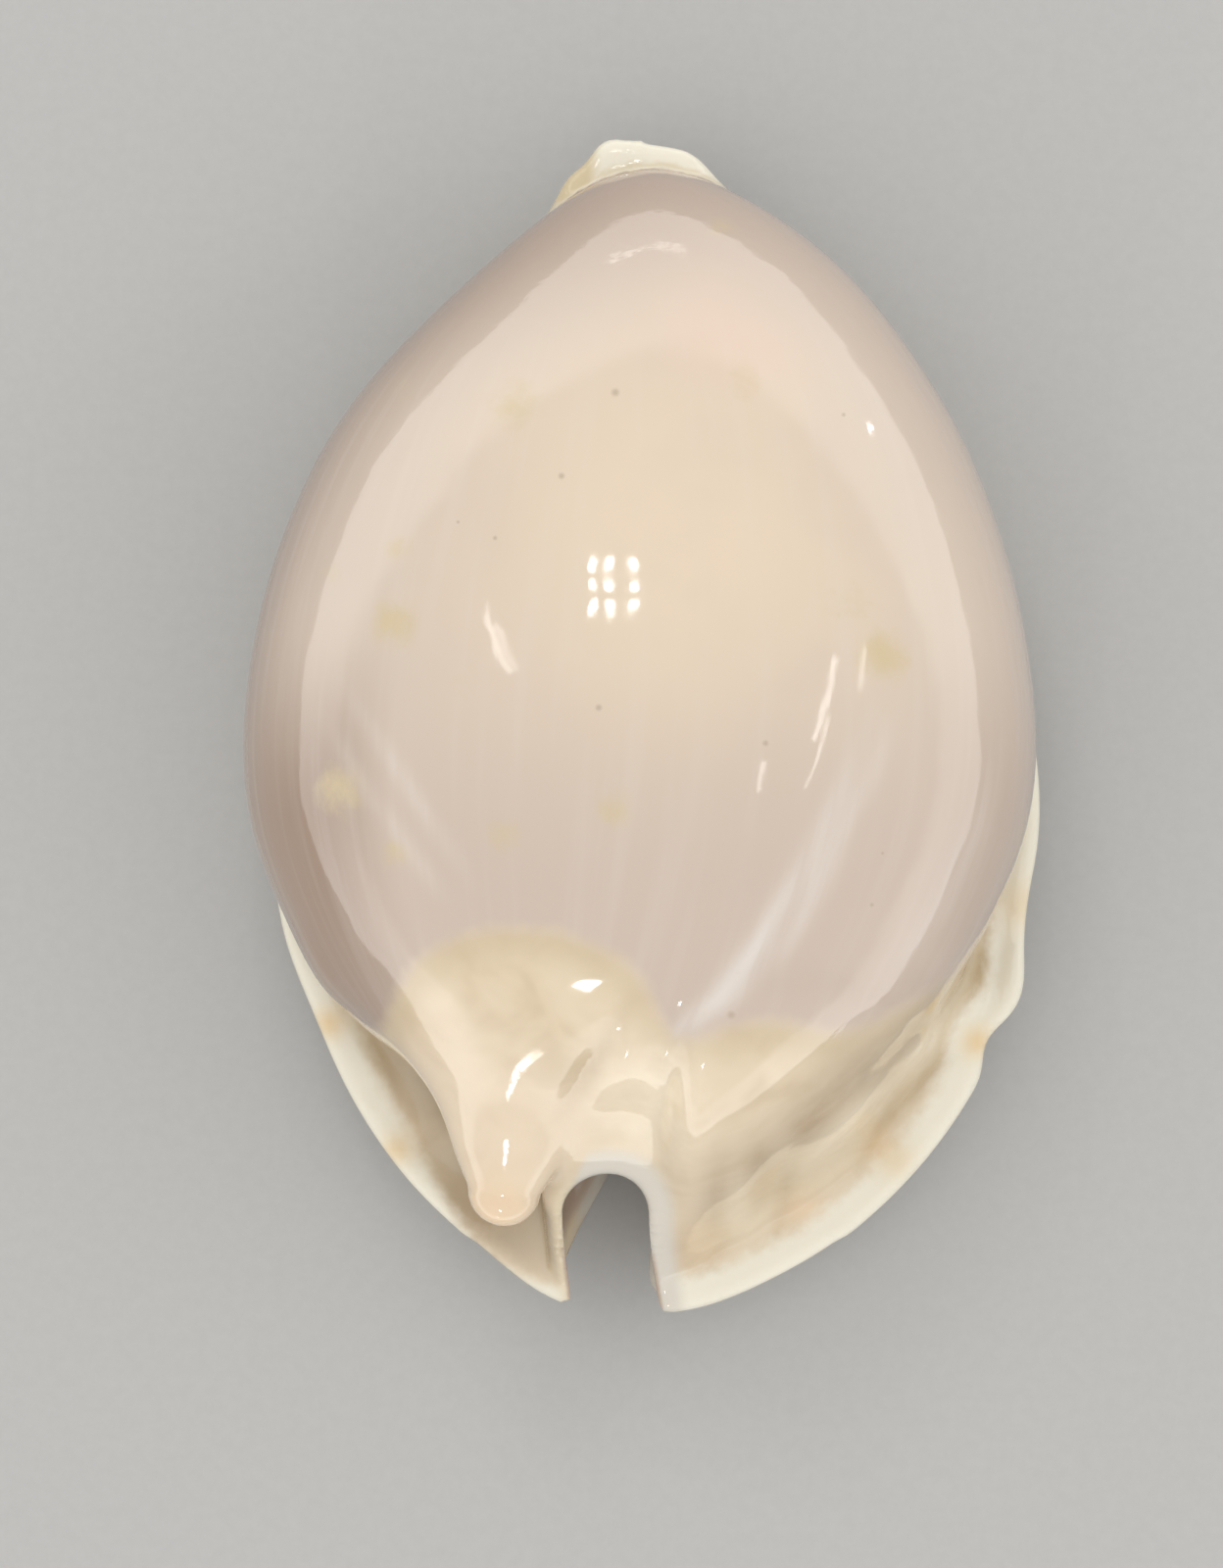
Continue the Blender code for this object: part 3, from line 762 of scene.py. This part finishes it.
def dorsum_colour(n, place, lines):
    """Cream over the crown, mauve about it, greyer down the sides with painted shade there, darker on the
    left, painted shade in the valley by the left margin, and blotches, streaks and specks.
    """
    split = n.add("ShaderNodeSeparateXYZ")
    n.feed(split, 0, place)
    x, y, z = (split.outputs[axis] for axis in "XYZ")
    clouds = n.noise(place, 0.11, detail=3.0)
    cream = n.sums("MULTIPLY", n.mark("cream"), n.step(clouds, 0.25, 0.6, 0.6, 1.0))
    colour = n.mixed(cream, DORSUM_MAUVE, DORSUM_CREAM)
    # Painted shade down the sides: the colour darkens low down, more on the left
    side_shade = n.mixed(n.step(x, -14.0, 14.0), DORSUM_LEFT_SHADE, DORSUM_RIGHT_SHADE)
    colour = n.mixed(n.step(z, 24.0, 10.0), colour, side_shade)
    behind = n.step(y, 4.0, -8.0)
    colour = n.mixed(n.sums("MULTIPLY", behind, 0.5), colour, DORSUM_LOW)
    # Painted shade in the valley along the left margin, towards the posterior end
    valley_shade = n.sums("MULTIPLY", n.step(n.mark("from_rim"), 7.0, 2.6), n.step(y, 6.0, -5.0))
    valley_shade = n.sums("MULTIPLY", valley_shade, n.step(x, 4.0, -8.0, 0.3, 0.95))
    colour = n.mixed(valley_shade, colour, VALLEY_PAINTED_SHADE)
    colour = n.mixed(n.sums("MULTIPLY", n.mark("pink"), 0.6), colour, PINK_TINT)
    ragged = n.noise(place, 0.9, detail=4.0, roughness=0.6)
    ochre = n.sums("ADD", n.mark("ochre"), n.sums("MULTIPLY", n.sums("SUBTRACT", ragged, 0.5), 0.9))
    ochre = n.sums("MULTIPLY", n.step(ochre, 0.25, 1.1, 0.0, 0.75), n.step(n.mark("facing_up"), 0.2, 0.6))
    colour = n.mixed(ochre, colour, OCHRE_TINT)
    fine = n.sums("MULTIPLY", n.step(lines, 0.45, 0.75, 0.0, 0.12), n.step(y, 22.0, 14.0))
    colour = n.mixed(fine, colour, STREAK_WHITE)
    broken = n.step(lines, 0.3, 0.6, 0.35, 1.0)
    colour = n.mixed(n.sums("MULTIPLY", n.mark("streak"), broken), colour, STREAK_WHITE)
    flat = n.vector(x, y, 0.0)
    for middle, radius in SPECKS:
        away = n.add("ShaderNodeVectorMath", operation="DISTANCE")
        n.feed(away, 0, flat)
        n.feed(away, 1, (*middle, 0.0))
        speck = n.step(away.outputs["Value"], radius, radius * 0.1, 0.0, 0.7)
        colour = n.mixed(speck, colour, SPECK_BROWN)
    return colour


def callus_colour(n, place, edge):
    """Tan glaze, darker at its edge, peach on the spire, with painted shade on its steep faces and in the
    hollows of its folds, and creamy painted light on the folds' crests and over the hood.
    """
    level = n.step(n.mark("facing_up"), 0.2, 0.5)
    mottle = n.noise(place, 0.32, detail=2.0, roughness=0.5, distortion=0.4)
    wobble = n.step(n.noise(place, 0.6, detail=2.0), 0.25, 0.75, 0.7, 1.2)
    colour = n.mixed(n.step(mottle, 0.4, 0.7, 0.0, 0.35), CALLUS_TAN, CALLUS_CREAM_AND_LIGHT)
    colour = n.mixed(n.step(mottle, 0.5, 0.28, 0.0, 0.3), colour, CALLUS_BROWN_AND_SHADE)
    # Painted shade: the callus is darker where its surface turns away from facing up
    colour = n.mixed(level, CALLUS_STEEP_SHADE, colour)
    on_spire = n.step(n.mark("from_spire"), 1.2, 0.0, 0.0, 0.6)
    colour = n.mixed(on_spire, colour, SPIRE_TINT)
    band = n.sums("MULTIPLY", n.step(edge, -0.4, 0.5), n.step(edge, 2.6, 0.5))
    colour = n.mixed(n.sums("MULTIPLY", band, 0.6), colour, CALLUS_EDGE_TAN)
    # Painted shade in the hollows of the folds, partly a brown tint, and painted light on their crests and
    # over the hood; peach is the spire's tint
    tints_shade_and_light = (("shaded", CALLUS_BROWN_AND_SHADE, 0.85), ("pale", CALLUS_CREAM_AND_LIGHT, 0.8), ("peach", PEACH_TINT, 0.7))
    for mark, tone, most in tints_shade_and_light:
        share = n.sums("MULTIPLY", n.sums("MULTIPLY", n.mark(mark), wobble), most, clamp=True)
        colour = n.mixed(share, colour, tone)
    return colour


def shell_material(name):
    material = bpy.data.materials.new(name)
    material.use_nodes = True
    n = Nodes(material)
    place = n.place()
    split = n.add("ShaderNodeSeparateXYZ")
    n.feed(split, 0, place)
    x, y, z = (split.outputs[axis] for axis in "XYZ")
    turn = n.sums("MULTIPLY", n.mark("growth"), GROWTH_LINES)
    lines = n.noise(n.vector(turn, n.sums("MULTIPLY", y, 0.05), 0.0), 1.0, detail=4.0)
    ragged = n.sums("MULTIPLY", n.sums("SUBTRACT", n.noise(place, 1.6, detail=3.0), 0.5), 0.7)
    edge = n.sums("ADD", n.mark("behind_callus_line"), n.sums("MULTIPLY", ragged, 0.6))
    callus = n.step(edge, -0.6, 0.6)
    over_margin = n.sums("ADD", n.mark("over_margin"), ragged)
    on_margin = n.step(over_margin, -0.4, 0.3)
    dorsum = dorsum_colour(n, place, lines)
    glaze = callus_colour(n, place, edge)
    colour = n.mixed(n.sums("MAXIMUM", callus, on_margin), dorsum, glaze)
    # Painted shade over the tan in the groove beside the spire, on the left flange
    groove_shade = n.sums("MULTIPLY", n.step(n.mark("from_spire"), 9.4, 6.4), n.step(x, -3.2, -5.4))
    groove_shade = n.sums("MULTIPLY", groove_shade, n.step(y, -7.0, -11.0))
    groove_shade = n.sums("MULTIPLY", groove_shade, n.step(n.mark("from_spire"), 0.1, 0.7))
    groove_shade = n.sums("MULTIPLY", groove_shade, n.step(over_margin, -2.6, -0.6, 0.0, 0.95))
    colour = n.mixed(groove_shade, colour, GROOVE_TAN_AND_SHADE)
    rim_reach = n.sums("SUBTRACT", 1.7, n.sums("MULTIPLY", n.mark("left_tip"), 1.5))
    rim = n.step(n.sums("SUBTRACT", n.sums("ADD", n.mark("from_rim"), ragged), rim_reach), 0.7, -0.5)
    colour = n.mixed(n.sums("MULTIPLY", rim, on_margin), colour, RIM_WHITE)
    ahead = n.step(y, 18.0, 24.0)
    colour = n.mixed(n.sums("MULTIPLY", ahead, on_margin), colour, RIM_WHITE)
    between = n.step(over_margin, 0.7, 0.2, 0.0, 0.6)
    tan_layer = n.sums("MULTIPLY", ahead, n.sums("MAXIMUM", n.step(x, -1.9, -2.9), between))
    colour = n.mixed(n.sums("MULTIPLY", tan_layer, on_margin), colour, LAYER_TAN)
    amber = n.sums("MULTIPLY", n.mark("amber"), n.step(n.mark("over_margin"), 0.0, 1.5))
    colour = n.mixed(amber, colour, AMBER_TINT)
    under = n.step(n.mark("facing_up"), 0.1, -0.35)
    low_down = n.step(z, 9.0, 6.0)
    colour = n.mixed(n.sums("MULTIPLY", under, low_down), colour, BASE_WHITE)
    behind = n.step(y, -18.0, -20.0)
    from_canal = n.sums("ADD", n.mark("from_canal"), n.step(x, -2.6, -3.4, 0.0, 0.7))
    wall = n.mixed(n.step(x, -3.0, -3.7), NOTCH_WHITE, WALL_CREAM)
    colour = n.mixed(n.sums("MULTIPLY", n.step(from_canal, 1.7, 0.7), behind), colour, wall)
    # Pinkish tint with painted shade low inside the canal
    in_canal = n.sums("MULTIPLY", n.step(n.mark("from_canal"), 0.3, 0.05), n.step(z, 9.5, 7.0))
    colour = n.mixed(n.sums("MULTIPLY", in_canal, behind), colour, CANAL_PINK_AND_SHADE)
    inside = n.step(n.mark("from_chamber"), 0.25, 0.05)
    colour = n.mixed(inside, colour, INSIDE_MAUVE)
    finish = n.tree.nodes["Principled BSDF"]
    n.feed(finish, "Base Color", colour)
    n.feed(finish, "Roughness", n.step(n.noise(place, 0.8, detail=3.0), 0.3, 0.7, *ROUGHNESS))
    finish.inputs["IOR"].default_value = REFRACTION
    finish.inputs["Subsurface Weight"].default_value = LIGHT_LET_IN
    finish.inputs["Subsurface Scale"].default_value = LIGHT_REACH * MM
    finish.inputs["Subsurface Radius"].default_value = LIGHT_REACH_BY_COLOUR
    bump = n.add("ShaderNodeBump")
    bump.inputs["Distance"].default_value = BUMP_HEIGHT * MM
    bump.inputs["Strength"].default_value = BUMP_STRENGTH
    swell = n.noise(place, 0.3, detail=1.0)
    fine = n.sums("MULTIPLY", lines, n.step(callus, 1.0, 0.0, 0.0, 0.12))
    ripple = n.sums("MULTIPLY", n.noise(place, 1.3, detail=2.0), n.step(z, 25.0, 18.0, 0.0, 0.2))
    raised = n.sums("ADD", swell, n.sums("MULTIPLY", callus, 0.6))
    n.feed(bump, "Height", n.sums("ADD", n.sums("ADD", fine, ripple), raised))
    n.feed(finish, "Normal", bump.outputs["Normal"])
    return material


def make_shell():
    """The finely meshed shell, with the marks that its colours depend on."""
    points, quads = skin(cowrie, LOW, HIGH, CELL)
    _, slope = with_slope(cowrie, points)
    normals = slope / np.maximum(np.linalg.norm(slope, axis=1), 1e-6)[:, None]
    values = marks(*points.T, normals[:, 2])
    points[:, 2] = np.maximum(points[:, 2], 0)
    middle = np.append((points[:, :2].min(axis=0) + points[:, :2].max(axis=0)) / 2, 0.0)
    points -= middle
    mesh = bpy.data.meshes.new("cowrie")
    mesh.from_pydata((points * MM).tolist(), [], quads.tolist())
    for name, value in values.items():
        layer = mesh.attributes.new(name, "FLOAT", "POINT")
        layer.data.foreach_set("value", np.asarray(value, np.float32))
    mesh.shade_smooth()
    mesh.materials.append(shell_material("shell_gloss"))
    piece = bpy.data.objects.new("cowrie", mesh)
    bpy.context.scene.collection.objects.link(piece)
    return piece, middle


def seen_at(column, row, level):
    """The place at a level, in millimetres, that a pixel of the photo shows from straight above."""
    return np.array([(column - ORIGIN_COLUMN) * PIXEL, (ORIGIN_ROW - row) * PIXEL, level])


def make_camera(middle):
    """The camera, straight over the photo's middle; middle is the shell's own, in the field's frame."""
    eye = seen_at(PHOTO_WIDTH / 2, PHOTO_HEIGHT / 2, CAMERA_HEIGHT)
    camera = bpy.data.objects.new("camera", bpy.data.cameras.new("camera"))
    bpy.context.scene.collection.objects.link(camera)
    camera.location = (eye - middle) * MM
    half_frame = PHOTO_HEIGHT / 2 * PIXEL
    camera.data.sensor_width = SENSOR
    camera.data.lens = SENSOR / 2 / (half_frame / (CAMERA_HEIGHT - FRAMED_LEVEL))
    camera.data.clip_start = 0.01
    bpy.context.scene.camera = camera


def shone_back(column, row):
    """The shell's place at a pixel of the photo, and where it mirrors a lamp from."""
    eye = seen_at(PHOTO_WIDTH / 2, PHOTO_HEIGHT / 2, CAMERA_HEIGHT)
    ray = seen_at(column, row, FRAMED_LEVEL) - eye
    ray /= np.linalg.norm(ray)
    place = eye + ray * (CAMERA_HEIGHT - HIGH[2])
    for _ in range(RAY_STEPS):
        place = place + ray * RAY_CAUTION * cowrie(*place[:, None])
    _, slope = with_slope(cowrie, place[None, :])
    normal = slope[0] / np.linalg.norm(slope[0])
    return place, place + (ray - 2 * (ray @ normal) * normal) * LAMP_DISTANCE


def make_lamp(name, start, end, width, radiance):
    """A lamp that the shell mirrors from one pixel of the photo to another."""
    place, first = shone_back(*start)
    _, last = shone_back(*end)
    toward = Vector(place - (first + last) / 2).normalized()
    along = Vector(last - first)
    along -= along.dot(toward) * toward
    length = min(max(along.length, LAMP_LENGTH[0]), LAMP_LENGTH[1])
    light = bpy.data.lights.new(name, "AREA")
    light.shape = "RECTANGLE"
    light.size = width * MM
    light.size_y = length * MM
    light.energy = radiance * math.pi * light.size * light.size_y
    light.color = LAMP_COLOUR
    lamp = bpy.data.objects.new(name, light)
    bpy.context.scene.collection.objects.link(lamp)
    along.normalize()
    axes = Matrix((along.cross(-toward), along, -toward)).transposed()
    lamp.matrix_world = Matrix.LocRotScale(Vector((first + last) / 2) * MM, axes, None)


def make_lamps():
    """A panel of nine small lamps, and the lamps and windows about it."""
    for column in PANEL_COLUMNS:
        for row in PANEL_ROWS:
            ends = (column, row - PANEL_HALF_HEIGHT), (column, row + PANEL_HALF_HEIGHT)
            make_lamp("panel", *ends, PANEL_WIDTH, PANEL_RADIANCE)
    for start, end, width, radiance in GLINTS:
        make_lamp("glint", start, end, width, radiance)


def make_sky():
    """The soft tent about the shell: brighter overhead, behind the spire and past the table's edge."""
    world = bpy.data.worlds.new("studio")
    world.use_nodes = True
    n = Nodes(world)
    split = n.add("ShaderNodeSeparateXYZ")
    n.feed(split, 0, n.add("ShaderNodeTexCoord").outputs["Generated"])
    y, z = split.outputs["Y"], split.outputs["Z"]
    glow = n.sums("ADD", n.step(z, 0.3, 1.0, 0.85, 1.05), n.step(y, 0.3, -0.8, 0.0, 0.15))
    band_top = n.step(y, 0.2, 0.75, -0.08, 0.14)
    walls = n.step(n.sums("SUBTRACT", z, band_top), 0.0, -0.12, 0.0, 0.8)
    background = world.node_tree.nodes["Background"]
    n.feed(background, "Color", SKY_COLOUR)
    n.feed(background, "Strength", n.sums("ADD", glow, walls))
    bpy.context.scene.world = world


def make_floor():
    """A round pale table top."""
    mesh = bpy.data.meshes.new("floor")
    turns = [2 * math.pi * i / FLOOR_CORNERS for i in range(FLOOR_CORNERS)]
    ring = [(FLOOR_RADIUS * math.cos(a), FLOOR_MIDDLE_Y + FLOOR_RADIUS * math.sin(a)) for a in turns]
    mesh.from_pydata([(x * MM, y * MM, FLOOR_LEVEL * MM) for x, y in ring], [], [range(FLOOR_CORNERS)])
    material = bpy.data.materials.new("floor")
    material.use_nodes = True
    n = Nodes(material)
    paper = n.noise(n.place(), 1.5, detail=5.0, roughness=0.7)
    colour = n.mixed(n.step(paper, 0.3, 0.7), *FLOOR_GREYS)
    finish = material.node_tree.nodes["Principled BSDF"]
    n.feed(finish, "Base Color", colour)
    finish.inputs["Roughness"].default_value = 0.85
    mesh.materials.append(material)
    floor = bpy.data.objects.new("floor", mesh)
    bpy.context.scene.collection.objects.link(floor)


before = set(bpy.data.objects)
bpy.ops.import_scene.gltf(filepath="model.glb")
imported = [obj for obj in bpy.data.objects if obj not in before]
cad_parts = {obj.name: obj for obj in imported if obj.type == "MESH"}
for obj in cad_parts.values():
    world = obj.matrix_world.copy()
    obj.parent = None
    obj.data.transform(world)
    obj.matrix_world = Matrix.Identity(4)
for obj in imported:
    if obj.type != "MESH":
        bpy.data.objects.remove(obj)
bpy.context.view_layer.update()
bpy.context.scene.view_settings.view_transform = "Standard"
shell, middle = make_shell()
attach(shell, "root")
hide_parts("shell")
make_floor()
make_camera(middle)
make_lamps()
make_sky()
